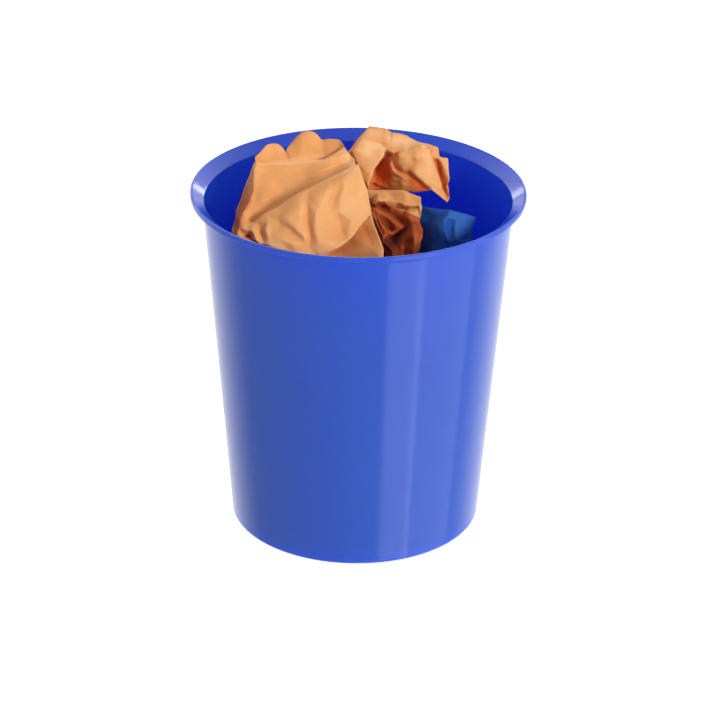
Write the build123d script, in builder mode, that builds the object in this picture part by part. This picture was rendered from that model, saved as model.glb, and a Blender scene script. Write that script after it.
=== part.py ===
"""Round office wastebasket with four crumpled sheets of waste paper in it.

The basket is one injection moulding: a tapered round wall on a recessed floor,
with a flared rim that ends in a small turned-down lip. Each sheet of paper is a
loose, hollow, faceted shell, open underneath, which stands on the floor and lifts
straight out. Millimetres, +Z up, origin on the floor at the basket's centre.
"""

import os
from math import hypot

from build123d import *

# Basket, outside
rim_diameter = 296.0
height = 315.0
wall_top_diameter = 274.4  # outside of the wall where the rim starts to flare
base_diameter = 224.8
wall = 1.8

# Rim: the flare climbs outwards from the wall to a bead, and the lip hangs from it
flare_drop = 7.8  # from the rim's top down to the flare's inner edge
flare_underside_drop = 9.6
lip_height = 4.8
lip_thickness = 1.9
lip_root_drop = 3.2  # from the rim's top down to where the lip joins the flare's underside
bead_height = 0.7  # how far the rounded bead stands above the flare's outer edge
bead_step = 0.4  # how far the bead's inner side leans in over that height

# Floor: raised off the table on a foot ring, with the moulding gate in its centre
floor_thickness = 2.2
floor_recess = 4.5
foot_width = 6.0
foot_slope = 1.0  # how far the foot ring's inner side leans in over its height
gate_well_radius = 9.0
gate_well_depth = 0.8
gate_stub_radius = 2.2
gate_stub_height = 1.0

# Corner radii
foot_radius = 3.0
inner_floor_radius = 6.0
flare_edge_radius = 2.0
lip_radius = 0.8
under_flare_radius = 2.5

# Paper
paper_wall = 0.6  # wall of a sheet's shell, several plies of creased paper
paper_clearance = 0.8  # gap between the floor and the lowest paper edge

rim_r = rim_diameter / 2
wall_top_r = wall_top_diameter / 2
base_r = base_diameter / 2
wall_top_z = height - flare_underside_drop
taper = (wall_top_r - base_r) / wall_top_z
floor_top = floor_recess + floor_thickness
paper_base = floor_top + paper_clearance


def outer_radius(z):
    """Radius of the wall's outside at height z."""
    return base_r + taper * z


def inner_radius(z):
    """Radius of the wall's inside at height z."""
    return outer_radius(z) - wall


def export(part, label):
    part.label = label
    export_step(part, f"parts/{label}.step")


os.makedirs("parts", exist_ok=True)

# Basket ---------------------------------------------------------------------
foot_inner = (base_r - foot_width, 0)
foot_outer = (base_r, 0)
under_flare = (wall_top_r, wall_top_z)
lip_root = (rim_r - lip_thickness, height - lip_root_drop)
lip_inner_foot = (rim_r - lip_thickness, height - lip_height)
lip_outer_foot = (rim_r, height - lip_height)
rim_top_outer = (rim_r, height)
rim_top_inner = (rim_r - lip_thickness, height)
flare_outer = (rim_r - lip_thickness - bead_step, height - bead_height)
flare_inner = (inner_radius(height - flare_drop), height - flare_drop)
floor_corner = (inner_radius(floor_top), floor_top)

rounded_corners = [
    (foot_inner, lip_radius),
    (foot_outer, foot_radius),
    (under_flare, under_flare_radius),
    (lip_inner_foot, lip_radius / 2),
    (lip_outer_foot, lip_radius),
    (rim_top_outer, lip_radius),
    (rim_top_inner, lip_radius / 2),
    (flare_inner, flare_edge_radius),
    (floor_corner, inner_floor_radius),
]

with BuildPart() as basket:
    with BuildSketch(Plane.XZ) as section:
        with BuildLine():
            Polyline(
                (0, floor_recess + gate_well_depth - gate_stub_height),
                (gate_stub_radius, floor_recess + gate_well_depth - gate_stub_height),
                (gate_stub_radius, floor_recess + gate_well_depth),
                (gate_well_radius, floor_recess + gate_well_depth),
                (gate_well_radius, floor_recess),
                (base_r - foot_width - foot_slope, floor_recess),
                foot_inner,
                foot_outer,
                under_flare,
                lip_root,
                lip_inner_foot,
                lip_outer_foot,
                rim_top_outer,
                rim_top_inner,
                flare_outer,
                flare_inner,
                floor_corner,
                (0, floor_top),
                close=True,
            )
        make_face()
        for corner, radius in rounded_corners:
            fillet(section.vertices().sort_by_distance(corner)[0], radius)
    revolve(axis=Axis.Z)
export(basket.part, "basket")


# Crumpled paper -------------------------------------------------------------
def inset(corners, amount):
    """The same corners, each moved towards their centre by amount."""
    cx = sum(x for x, y in corners) / len(corners)
    cy = sum(y for x, y in corners) / len(corners)
    moved = []
    for x, y in corners:
        keep = 1 - amount / hypot(x - cx, y - cy)
        moved.append((cx + (x - cx) * keep, cy + (y - cy) * keep))
    return moved


def crumpled_sheet(label, levels):
    """A hollow faceted shell through polygons at rising heights, open underneath."""
    with BuildPart() as sheet:
        for z, corners in levels:
            with BuildSketch(Plane.XY.offset(z)):
                Polygon(*corners, align=None)
        loft(ruled=True)
        top = levels[-1][0]
        for z, corners in levels:
            with BuildSketch(Plane.XY.offset(z - paper_wall if z == top else z)):
                Polygon(*inset(corners, paper_wall), align=None)
        loft(ruled=True, mode=Mode.SUBTRACT)
    export(sheet.part, label)


# The large kraft sheet fills the left and front of the basket. Its front slopes up
# from the rim to a ridge that runs from the left down to the middle.
crumpled_sheet(
    "large_kraft_sheet",
    [
        (
            paper_base,
            [(-88, -32), (-78, -58), (-54, -78), (-30, -84), (0, -76)]
            + [(-2, -50), (-8, -14), (-16, 24), (-44, 44), (-78, 26)],
        ),
        (
            150,
            [(-100, -36), (-86, -68), (-56, -92), (-28, -98), (12, -88)]
            + [(6, -56), (-2, -14), (-13, 32), (-46, 56), (-86, 34)],
        ),
        (
            298,
            [(-110, -40), (-94, -76), (-58, -104), (-28, -108), (22, -100)]
            + [(12, -60), (2, -14), (-10, 36), (-46, 62), (-92, 40)],
        ),
        (
            318,
            [(-97, -20), (-82, -48), (-56, -50), (-28, -54), (10, -56)]
            + [(5, -30), (0, -6), (-11, 36), (-46, 60), (-90, 38)],
        ),
        (
            342,
            [(-88, 8), (-64, 10), (-40, 0), (-20, -10), (0, -8)]
            + [(2, 0), (-2, 8), (-14, 34), (-46, 52), (-80, 40)],
        ),
    ],
)

# The rear kraft sheet stands against the back. Its folded corner hangs to the right.
crumpled_sheet(
    "rear_kraft_sheet",
    [
        (
            paper_base,
            [(12, 44), (34, 38), (56, 34), (70, 34)]
            + [(76, 46), (66, 68), (40, 84), (8, 80)],
        ),
        (
            160,
            [(6, 40), (32, 36), (60, 30), (76, 26)]
            + [(82, 48), (70, 78), (42, 95), (2, 88)],
        ),
        (
            286,
            [(4, 34), (32, 32), (62, 28), (84, 16)]
            + [(88, 48), (74, 84), (44, 102), (-6, 92)],
        ),
        (
            322,
            [(0, 50), (30, 44), (56, 40), (80, 32)]
            + [(82, 50), (70, 78), (42, 94), (-4, 86)],
        ),
        (
            342,
            [(4, 62), (24, 58), (40, 56), (54, 54)]
            + [(58, 62), (50, 76), (34, 84), (6, 80)],
        ),
    ],
)

# The small brown sheet is tucked in the middle, lower than the two kraft sheets.
crumpled_sheet(
    "small_brown_sheet",
    [
        (
            paper_base,
            [(12, 14), (12, -4), (16, -34), (24, -52)]
            + [(40, -50), (50, -32), (48, -4), (34, 10)],
        ),
        (
            170,
            [(10, 16), (9, -2), (15, -40), (24, -62)]
            + [(44, -58), (55, -36), (52, -3), (36, 12)],
        ),
        (
            282,
            [(8, 18), (8, 0), (16, -44), (26, -70)]
            + [(48, -62), (58, -38), (54, -2), (36, 14)],
        ),
        (
            304,
            [(12, 16), (12, 4), (16, -4), (26, -8)]
            + [(44, -8), (52, -6), (52, 0), (36, 12)],
        ),
    ],
)

# The blue sheet stands at the right, between the small brown sheet and the wall.
crumpled_sheet(
    "blue_sheet",
    [
        (
            paper_base,
            [(66, 4), (68, -14), (68, -38), (66, -58), (76, -62)]
            + [(88, -46), (94, -18), (92, 2), (78, 6)],
        ),
        (
            170,
            [(60, 6), (66, -14), (67, -42), (64, -66), (78, -72)]
            + [(94, -56), (102, -22), (98, 3), (79, 8)],
        ),
        (
            280,
            [(56, 8), (64, -14), (66, -44), (62, -72), (80, -80)]
            + [(98, -62), (108, -24), (104, 4), (80, 10)],
        ),
        (
            296,
            [(56, 8), (60, -2), (66, -8), (72, -12), (84, -16)]
            + [(96, -14), (104, -8), (103, 2), (80, 9)],
        ),
    ],
)
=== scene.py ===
"""Looks of a round office wastebasket with four crumpled sheets of paper in it.

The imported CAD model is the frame. The basket keeps its CAD shape and gets a glossy moulded plastic.
A sheet is a surface through rows of points, with fine random crumpling all over and a net of flat
facets where it faces the camera. Blender works in metres, and the paper's points are in millimetres.
"""

import math

import bpy
import numpy as np
from mathutils import Matrix, Vector
from mathutils.geometry import delaunay_2d_cdt


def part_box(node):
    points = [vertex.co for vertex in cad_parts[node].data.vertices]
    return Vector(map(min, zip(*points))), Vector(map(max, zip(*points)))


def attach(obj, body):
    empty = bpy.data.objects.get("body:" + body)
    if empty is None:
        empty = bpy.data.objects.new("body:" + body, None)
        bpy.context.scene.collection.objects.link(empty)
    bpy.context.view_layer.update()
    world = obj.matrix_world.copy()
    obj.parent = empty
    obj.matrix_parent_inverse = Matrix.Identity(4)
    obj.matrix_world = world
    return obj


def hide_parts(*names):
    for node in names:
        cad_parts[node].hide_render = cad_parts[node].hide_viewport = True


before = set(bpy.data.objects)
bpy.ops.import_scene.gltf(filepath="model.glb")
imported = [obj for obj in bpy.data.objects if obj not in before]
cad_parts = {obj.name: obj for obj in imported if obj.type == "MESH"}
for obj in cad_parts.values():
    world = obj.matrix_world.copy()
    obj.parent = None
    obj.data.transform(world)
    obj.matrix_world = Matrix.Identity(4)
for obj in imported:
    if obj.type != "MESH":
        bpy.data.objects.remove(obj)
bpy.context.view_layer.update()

MM = 0.001
TINY = 1e-9
WHITE = (1, 1, 1, 1)
UP, BACK = (0, 0, 1), (0, 1, 0)

# --- Camera ---
camera_distance = 2.7524
camera_height_angle = math.radians(25.854)
camera_roll = math.radians(0.6505)
camera_shift = (0.00478, -0.01308)
focal_length_mm = 152.52
sensor_width_mm = 36
farthest_seen = 20
basket_low, basket_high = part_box("basket")
target = Vector((0, 0, (basket_low.z + basket_high.z) / 2))


def make_camera():
    data = bpy.data.cameras.new("camera")
    data.lens = focal_length_mm
    data.sensor_width = sensor_width_mm
    data.shift_x, data.shift_y = camera_shift
    data.clip_end = farthest_seen
    camera = bpy.data.objects.new("camera", data)
    bpy.context.scene.collection.objects.link(camera)
    back = Vector((0, -math.cos(camera_height_angle), math.sin(camera_height_angle)))
    tilt = Matrix.Rotation(math.pi / 2 - camera_height_angle, 4, "X")
    roll = Matrix.Rotation(camera_roll, 4, "Z")
    camera.matrix_world = Matrix.Translation(target + back * camera_distance) @ tilt @ roll
    bpy.context.scene.camera = camera


make_camera()


# --- Shader nodes ---
# Each of these returns an output socket. A value is a socket, a number or a colour.
def feed(socket, value):
    """Links value to an input socket, or sets the socket to it."""
    if isinstance(value, bpy.types.NodeSocket):
        socket.id_data.links.new(value, socket)
    else:
        socket.default_value = value


def math_node(nodes, operation, first, second):
    """A Math node's result."""
    node = nodes.new("ShaderNodeMath")
    node.operation = operation
    feed(node.inputs[0], first)
    feed(node.inputs[1], second)
    return node.outputs[0]


def remap(nodes, value, low, high, to_low=0.0, to_high=1.0, smooth=False):
    """value moved from low..high to to_low..to_high, and kept inside."""
    node = nodes.new("ShaderNodeMapRange")
    if smooth:
        node.interpolation_type = "SMOOTHSTEP"
    feed(node.inputs["Value"], value)
    for name, number in (("From Min", low), ("From Max", high), ("To Min", to_low), ("To Max", to_high)):
        node.inputs[name].default_value = number
    return node.outputs[0]


def noise(nodes, place, scale, detail, stretch=(1, 1, 1), roughness=0.6):
    """A noise texture's value at place."""
    mapping = nodes.new("ShaderNodeMapping")
    mapping.inputs["Scale"].default_value = stretch
    feed(mapping.inputs["Vector"], place)
    texture = nodes.new("ShaderNodeTexNoise")
    texture.inputs["Scale"].default_value = scale
    texture.inputs["Detail"].default_value = detail
    texture.inputs["Roughness"].default_value = roughness
    feed(texture.inputs["Vector"], mapping.outputs[0])
    return texture.outputs[0]


def blend(nodes, share, first, second):
    """A colour between first and second."""
    node = nodes.new("ShaderNodeMix")
    node.data_type = "RGBA"
    feed(node.inputs[0], share)
    feed(node.inputs[6], first)
    feed(node.inputs[7], second)
    return node.outputs[2]


def reach(nodes, vector, direction):
    """How far vector reaches along direction."""
    node = nodes.new("ShaderNodeVectorMath")
    node.operation = "DOT_PRODUCT"
    node.inputs[1].default_value = direction
    feed(node.inputs[0], vector)
    return node.outputs["Value"]


def relief(nodes, height, strength, depth):
    """A normal for a surface with a fine relief of height."""
    node = nodes.new("ShaderNodeBump")
    node.inputs["Strength"].default_value = strength
    node.inputs["Distance"].default_value = depth
    feed(node.inputs["Height"], height)
    return node.outputs[0]


def new_material(name):
    """A material with its nodes and the inputs of its shader."""
    material = bpy.data.materials.new(name)
    material.use_nodes = True
    nodes = material.node_tree.nodes
    return material, nodes, nodes["Principled BSDF"].inputs


# --- Floor and light ---
def make_floor(size, color, glow):
    """A plain white floor that glows by itself: the basket's gloss and bounce look past it."""
    bpy.ops.mesh.primitive_plane_add(size=size)
    floor = bpy.context.object
    floor.name = "floor"
    floor.visible_glossy = False
    floor.visible_diffuse = False
    floor.visible_shadow = False
    material, _, shader = new_material("floor_white")
    shader["Base Color"].default_value = color
    shader["Roughness"].default_value = 0.9
    shader["Specular IOR Level"].default_value = 0.0
    shader["Emission Color"].default_value = WHITE
    shader["Emission Strength"].default_value = glow
    floor.data.materials.append(material)


def make_world(sky, ground, backdrop, key, key_direction, key_falloff=2.0):
    """A soft white studio: sky above, ground below, a lit backdrop and a wide glow around key_direction."""
    world = bpy.data.worlds.new("studio")
    bpy.context.scene.world = world
    world.use_nodes = True
    nodes = world.node_tree.nodes
    direction = nodes.new("ShaderNodeTexCoord").outputs["Generated"]
    upward, backward = reach(nodes, direction, UP), reach(nodes, direction, BACK)
    toward_key = reach(nodes, direction, Vector(key_direction).normalized())
    glow = math_node(nodes, "POWER", math_node(nodes, "MAXIMUM", toward_key, 0.0), key_falloff)
    total = remap(nodes, upward, -0.4, 0.7, ground, sky, smooth=True)
    total = math_node(nodes, "ADD", total, math_node(nodes, "MULTIPLY", glow, key))
    total = math_node(nodes, "ADD", total, remap(nodes, backward, 0.1, 0.75, 0.0, backdrop, smooth=True))
    background = nodes["Background"].inputs
    background["Color"].default_value = WHITE
    feed(background["Strength"], total)


def add_light(name, data, place, direction, receivers):
    """A light at place that shines along direction, on the receivers alone if there are any."""
    light = bpy.data.objects.new(name, data)
    bpy.context.scene.collection.objects.link(light)
    light.location = place
    light.rotation_euler = direction.to_track_quat("-Z", "Y").to_euler()
    if receivers:
        lit = bpy.data.collections.new(name + "_receivers")
        for piece in receivers:
            lit.objects.link(piece)
        light.light_linking.receiver_collection = lit
    return light


def panel_light(name, place, aim, size, radiance, receivers=()):
    """A soft panel at place that faces aim and is as bright as radiance."""
    data = bpy.data.lights.new(name, "AREA")
    data.shape = "RECTANGLE"
    data.size, data.size_y = size
    data.energy = radiance * math.pi * size[0] * size[1]
    light = add_light(name, data, place, Vector(aim) - Vector(place), receivers)
    light.visible_camera = False


def key_light(name, aim_from, strength, angle, receivers, color=(1, 1, 1)):
    """A broad sun from aim_from that isn't seen in the receivers' gloss."""
    data = bpy.data.lights.new(name, "SUN")
    data.energy = strength
    data.color = color
    data.angle = math.radians(angle)
    light = add_light(name, data, aim_from, -Vector(aim_from), receivers)
    light.visible_glossy = False


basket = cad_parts["basket"]
make_floor(size=12, color=(0.86, 0.86, 0.86, 1), glow=0.8)
make_world(sky=0.36, ground=0.42, backdrop=0.7, key=0.1, key_direction=(0.55, -0.65, 0.5))
key_light("basket_key", (0.54, -0.84, 0.2), 0.55, 25, [basket])
panel_light("strip_front_right", (0.95, -1.25, -0.6), (0, 0, -0.6), (0.8, 2.6), 0.75)
panel_light("glow_right", (1.7, -0.55, -0.6), (0, 0, -0.6), (1.7, 2.6), 0.5, [basket])
panel_light("rim_back_right", (0.9, 2.0, 0.65), (0, 0, 0.3), (0.5, 0.5), 4.0)
panel_light("rim_back_left", (-0.9, 2.0, 0.65), (0, 0, 0.3), (0.5, 0.5), 2.5)


# --- Basket ---
def plastic():
    """Glossy blue plastic that light gets into, with ripples, rubbed patches and a scuffed foot."""
    scuffed_height = 0.008
    material, nodes, shader = new_material("blue_moulded_plastic")
    place = nodes.new("ShaderNodeTexCoord").outputs["Object"]
    cloud = remap(nodes, noise(nodes, place, scale=9, detail=3), 0.3, 0.7)
    scratch = noise(nodes, place, scale=240, detail=4, stretch=(1, 1, 0.12))
    low_down = remap(nodes, reach(nodes, place, UP), 0.0, scuffed_height, 1, 0)
    scuffed = math_node(nodes, "MULTIPLY", low_down, remap(nodes, scratch, 0.3, 0.7))
    tone = blend(nodes, cloud, (0.030, 0.140, 0.90, 1), (0.036, 0.150, 0.94, 1))
    tone = blend(nodes, math_node(nodes, "MULTIPLY", scuffed, 0.08), tone, (0.10, 0.20, 0.80, 1))
    feed(shader["Base Color"], tone)
    shader["IOR"].default_value = 1.65
    rubbed = remap(nodes, noise(nodes, place, scale=22, detail=6), 0.35, 0.7, 0.10, 0.16)
    roughness = math_node(nodes, "ADD", rubbed, remap(nodes, scratch, 0.55, 0.75, 0, 0.06))
    roughness = math_node(nodes, "ADD", roughness, math_node(nodes, "MULTIPLY", scuffed, 0.06))
    feed(shader["Roughness"], roughness)
    shader["Subsurface Weight"].default_value = 1.0
    shader["Subsurface Radius"].default_value = (0.1, 0.3, 1.0)
    shader["Subsurface Scale"].default_value = 0.005
    ripple = noise(nodes, place, scale=160, detail=3)
    feed(shader["Normal"], relief(nodes, ripple, strength=0.12, depth=0.0003))
    return material


basket.data.materials.clear()
basket.data.materials.append(plastic())

# --- Paper ---
grain_mm = 1.3  # spacing of a finished sheet's points
paper_thickness_mm = 0.35
facing_angle = math.radians(25.85)  # how far above level the folds are seen from
LOW, HIGH = math.sin(facing_angle), math.cos(facing_angle)
TOWARD = np.array((0, -HIGH, LOW))  # the way that facets rise
fold_counts = (7, 10, 13)  # of a sheet's broad, middle and fine random facets
calm_share = 0.4  # of the random crumpling is left in a sheet's calm rows
unseen_extra = 1.6  # times as much again is added where the camera doesn't look
level_smoothing, hollow_smoothing = 200, 120  # rounds of averaging with the neighbours
high_corner_rise, high_wear_and_highlight = 1.5, -0.15  # a net's corner this high is lightened by so much, wear and painted highlight
low_corner_rise, low_painted_shade = -1.3, 0.08  # and one this low is darkened by so much, painted shade


def smooth_run(points, per_step=24):
    """A dense smooth curve through points."""
    points = np.array(points, float)
    if len(points) == 2:
        t = np.linspace(0, 1, per_step)[:, None]
        return points[0] * (1 - t) + points[1] * t
    before = np.vstack([2 * points[0] - points[1], points, 2 * points[-1] - points[-2]])
    t = np.linspace(0, 1, per_step, endpoint=False)[:, None]
    curve = []
    for a, b, c, d in zip(before, before[1:], before[2:], before[3:]):
        bend = a - 2.5 * b + 2 * c - d / 2
        twist = 3 * b - 3 * c + d - a
        curve.append(b + t / 2 * (c - a) + t**2 * bend + t**3 / 2 * twist)
    return np.vstack(curve + [points[-1:]])


def span(points, count, crisp=False):
    """count evenly spaced points along a curve through points. A point given twice is a corner."""
    if crisp:
        points = [p for p in points for _ in range(2)][1:-1]
    runs, run = [], [points[0]]
    for point in points[1:]:
        if point == run[-1]:
            runs.append(run)
            run = [point]
        else:
            run.append(point)
    curve = np.vstack([smooth_run(r) for r in runs + [run]])
    steps = np.linalg.norm(np.diff(curve, axis=0), axis=1)
    along = np.concatenate([[0], np.cumsum(steps)])
    wanted = np.linspace(0, along[-1], count)
    return np.stack([np.interp(wanted, along, curve[:, i]) for i in range(3)], axis=1)


def level(z, *spans):
    """A row whose points all lie at height z, and so are given as (x, y)."""
    return [[(x, y, z) for x, y in points] for points in spans]


def whole_spans(row):
    """A row's spans, each with the last point of the one before it as its first."""
    return [row[0]] + [before[-1:] + points for before, points in zip(row, row[1:])]


def loft(rows, sharp, crisp, least_across=4, least_down=2):
    """A grid of points through the rows, with the line of each row and the column of each span's end.

    sharp rows are creases, and every point of a crisp sheet is a corner.
    """
    rows = [whole_spans(row) for row in rows]
    counts = []
    for spans in zip(*rows):
        lengths = [np.linalg.norm(np.diff(np.array(p, float), axis=0), axis=1).sum() for p in spans]
        counts.append(max(least_across, round(np.mean(lengths) / grain_mm)))
    guide = []
    for row in rows:
        parts = [span(points, count, crisp) for points, count in zip(row, counts)]
        guide.append(np.vstack([parts[0]] + [part[1:] for part in parts[1:]]))
    guide = np.array(guide)
    gaps = np.linalg.norm(np.diff(guide, axis=0), axis=2).mean(axis=1)
    steps_between = [max(least_down, round(gap / grain_mm)) for gap in gaps]
    place = np.concatenate([[0], np.cumsum(gaps)])
    grid = []
    for i, gap in enumerate(gaps):
        chord = (guide[i + 1] - guide[i]) / gap
        start, end = chord, chord
        if i > 0 and i not in sharp:
            start = (guide[i + 1] - guide[i - 1]) / (place[i + 1] - place[i - 1])
        if i + 2 < len(rows) and i + 1 not in sharp:
            end = (guide[i + 2] - guide[i]) / (place[i + 2] - place[i])
        for t in np.arange(steps_between[i]) / steps_between[i]:
            grid.append(
                guide[i] * (1 + 2 * t) * (1 - t) ** 2
                + start * gap * t * (1 - t) ** 2
                + guide[i + 1] * t**2 * (3 - 2 * t)
                + end * gap * t**2 * (t - 1)
            )
    grid.append(guide[-1])
    lines = np.concatenate([[0], np.cumsum(steps_between)])
    columns = np.concatenate([[0], np.cumsum(np.array(counts) - 1)])
    return np.array(grid), lines, columns


def smoothed(field, times):
    """A field of vectors averaged with its neighbours a number of times."""
    for _ in range(times):
        wide = np.pad(field, ((1, 1), (1, 1), (0, 0)), mode="edge")
        field = (wide[:-2, 1:-1] + wide[2:, 1:-1] + wide[1:-1, :-2] + wide[1:-1, 2:] + 2 * field) / 6
    return field


def unit(field):
    """A field of vectors, each made one long."""
    return field / np.maximum(np.linalg.norm(field, axis=2, keepdims=True), TINY)


def normals_of(grid, smoothing=12):
    """Unit normals of a grid of points, evened out so that a push along them doesn't tangle a fold."""
    normal = np.cross(np.gradient(grid, axis=0), np.gradient(grid, axis=1))
    return unit(smoothed(unit(normal), smoothing))


def crumpled(points, seed, folds, middle=(0.25, 0.75)):
    """Height of a sheet that was folded along random planes and opened again: flat facets of equal slope."""
    random = np.random.default_rng(seed)
    folded = points.reshape(-1, 3).copy()
    for _ in range(folds):
        normal = random.normal(size=3)
        normal /= np.linalg.norm(normal)
        height = folded @ normal
        low, high = np.quantile(height, middle)
        beyond = np.minimum(height - random.uniform(low, high), 0)
        folded -= 2 * beyond[:, None] * normal
    direction = random.normal(size=3)
    height = (folded @ (direction / np.linalg.norm(direction))).reshape(points.shape[:2])
    return height - smoothed(height[..., None], level_smoothing)[..., 0]


def edge_fade(shape, rim=6, least=0.15):
    """1 inside a grid, and down to least over the last few points to its edges."""
    down, across = np.indices(shape)
    near = np.minimum(np.minimum(down, shape[0] - 1 - down), np.minimum(across, shape[1] - 1 - across))
    return np.clip(near / rim, least, 1)


def unseen(shape, first, last, below, blend_points=8):
    """0 where a grid faces the camera, up to 1 beyond: left of first, right of last or below a line."""
    down, across = np.indices(shape)
    outside = np.maximum(np.maximum(first - across, across - last), down - below)
    return np.clip(outside / blend_points, 0, 1)


def ridge(grid, normals, start, end, width, height, least=0.3, tip=0.2):
    """Height of one fold from start to end. It fades out over width, and to least over each tip."""
    start, end = np.array(start, float), np.array(end, float)
    run = end - start
    t = np.clip((grid - start) @ run / (run @ run), 0, 1)
    away = grid - start - t[..., None] * run
    away -= (away * normals).sum(axis=2, keepdims=True) * normals
    distance = np.linalg.norm(away, axis=2)
    ends = np.clip(np.minimum(t, 1 - t) / tip, least, 1)
    return height * ends * np.clip(1 - distance / width, 0, 1) ** 2


def net_node(x, y, z, rise=0, shade_and_wear=None):
    """A corner of a net. With no paint value of its own, a high one is lightened a bit (wear and painted
    highlight) and a low one gets a bit of painted shade.
    """
    if shade_and_wear is None and rise >= high_corner_rise:
        shade_and_wear = high_wear_and_highlight
    elif shade_and_wear is None and rise <= low_corner_rise:
        shade_and_wear = low_painted_shade
    return x, y, z, rise, shade_and_wear or 0


def facets(grid, net, merge_mm=0.01):
    """Height and painted shade and wear of a net of flat facets, whose creases are the net's lines of
    corners.
    """
    lines = [[net_node(*corner) for corner in line] for line in net]
    corners = [corner for line in lines for corner in line]
    values = np.array([corner[3:] for corner in corners], float)
    joins, first = [], 0
    for line in lines:
        joins += [(i, i + 1) for i in range(first, first + len(line) - 1)]
        first += len(line)
    flat = [Vector((x, LOW * y + HIGH * z)) for x, y, z, _, _ in corners]
    places, _, triangles, sources, _, _ = delaunay_2d_cdt(flat, joins, [], 0, merge_mm)
    across, up = grid[..., 0], LOW * grid[..., 1] + HIGH * grid[..., 2]
    found = np.zeros(grid.shape[:2] + (2,))
    for triangle in triangles:
        (ax, ay), (bx, by), (cx, cy) = (places[i] for i in triangle)
        area = (bx - ax) * (cy - ay) - (cx - ax) * (by - ay)
        b = ((across - ax) * (cy - ay) - (cx - ax) * (up - ay)) / area
        c = ((bx - ax) * (up - ay) - (across - ax) * (by - ay)) / area
        a = 1 - b - c
        at = [values[sources[i]].mean(axis=0) if sources[i] else np.zeros(2) for i in triangle]
        inside = (a >= 0) & (b >= 0) & (c >= 0)
        found[inside] = (a[..., None] * at[0] + b[..., None] * at[1] + c[..., None] * at[2])[inside]
    return found[..., 0], found[..., 1]


def sheet_object(name, grids, shade_and_wear_fields, body, material):
    """A mesh through grids of points that also holds its flat coordinates, creases, hollows, and its painted
    shade and wear.
    """
    vertices, faces, creases, hollows, flats = [], [], [], [], []
    for grid in grids:
        down, across = grid.shape[:2]
        index = np.arange(down * across).reshape(down, across) + len(vertices)
        corners = (index[:-1, :-1], index[1:, :-1], index[1:, 1:], index[:-1, 1:])
        faces += np.stack([c.ravel() for c in corners], axis=1).tolist()
        vertices += (grid * MM).reshape(-1, 3).tolist()
        normals = normals_of(grid)
        crease = np.zeros((down, across))
        around = (grid[:-2, 1:-1] + grid[2:, 1:-1] + grid[1:-1, :-2] + grid[1:-1, 2:]) / 4
        crease[1:-1, 1:-1] = ((grid[1:-1, 1:-1] - around) * normals[1:-1, 1:-1]).sum(axis=2)
        creases += crease.ravel().tolist()
        hollows += ((smoothed(grid, hollow_smoothing) - grid) * normals).sum(axis=2).ravel().tolist()
        flat = np.stack(np.meshgrid(np.arange(across), np.arange(down)), axis=2) * grain_mm * MM
        flats += flat.reshape(-1, 2).tolist()
    mesh = bpy.data.meshes.new(name)
    mesh.from_pydata(vertices, [], faces)
    shade_and_wear_values = np.concatenate([shade_and_wear.ravel() for shade_and_wear in shade_and_wear_fields])
    for attribute, values in (("crease", creases), ("hollow", hollows), ("shade_and_wear", shade_and_wear_values)):
        kept = mesh.attributes.new(attribute, "FLOAT", "POINT")
        kept.data.foreach_set("value", np.array(values, np.float32))
    uv = mesh.uv_layers.new(name="flat")
    uv.data.foreach_set("uv", np.array(flats)[np.array(faces).ravel()].ravel())
    mesh.shade_smooth()
    mesh.materials.append(material)
    piece = bpy.data.objects.new(name, mesh)
    bpy.context.scene.collection.objects.link(piece)
    solid = piece.modifiers.new("thickness", "SOLIDIFY")
    solid.thickness = paper_thickness_mm * MM
    solid.offset = 0
    bpy.context.view_layer.objects.active = piece
    bpy.ops.object.modifier_apply(modifier=solid.name)
    piece.visible_glossy = False
    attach(piece, body)
    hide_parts(body)
    return piece


def crumple_sheet(name, body, parts, front, sharp, seed, slopes, lines, net, material, crisp=False, calm=0):
    """A crumpled sheet. front is the first and last span that the camera sees, and the net lies there.

    slopes are how steep the broad, middle and fine random facets are. lines are given folds, each with
    a start, an end, a width and a height. The first rows, as many as calm, are crumpled less.
    """
    grids, shade_and_wear_fields = [], []
    for rows in parts:
        grid, row_lines, columns = loft(rows, sharp, crisp)
        normals = normals_of(grid)
        height = sum(
            slope * crumpled(grid, seed + folds, folds) for slope, folds in zip(slopes, fold_counts)
        )
        height = height * edge_fade(height.shape)
        height[: row_lines[calm]] *= calm_share
        hidden = np.ones(height.shape)
        if rows is parts[0]:
            left, right = columns[front[0]], columns[front[1] + 1]
            hidden = unseen(height.shape, left, right, row_lines[-3])
        height *= 1 + unseen_extra * hidden
        height += sum(ridge(grid, normals, *line) for line in lines)
        finished = grid + normals * height[..., None]
        # Painted shade (over 0) and wear with painted highlight (under 0), from the net.
        shade_and_wear = np.zeros(height.shape)
        if rows is parts[0]:
            seen = slice(left, right + 1)
            rise, shade_and_wear[:, seen] = facets(grid[:, seen], net)
            finished[:, seen] += TOWARD * rise[..., None]
        grids.append(finished)
        shade_and_wear_fields.append(shade_and_wear)
    return sheet_object(name, grids, shade_and_wear_fields, body, material)


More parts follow.
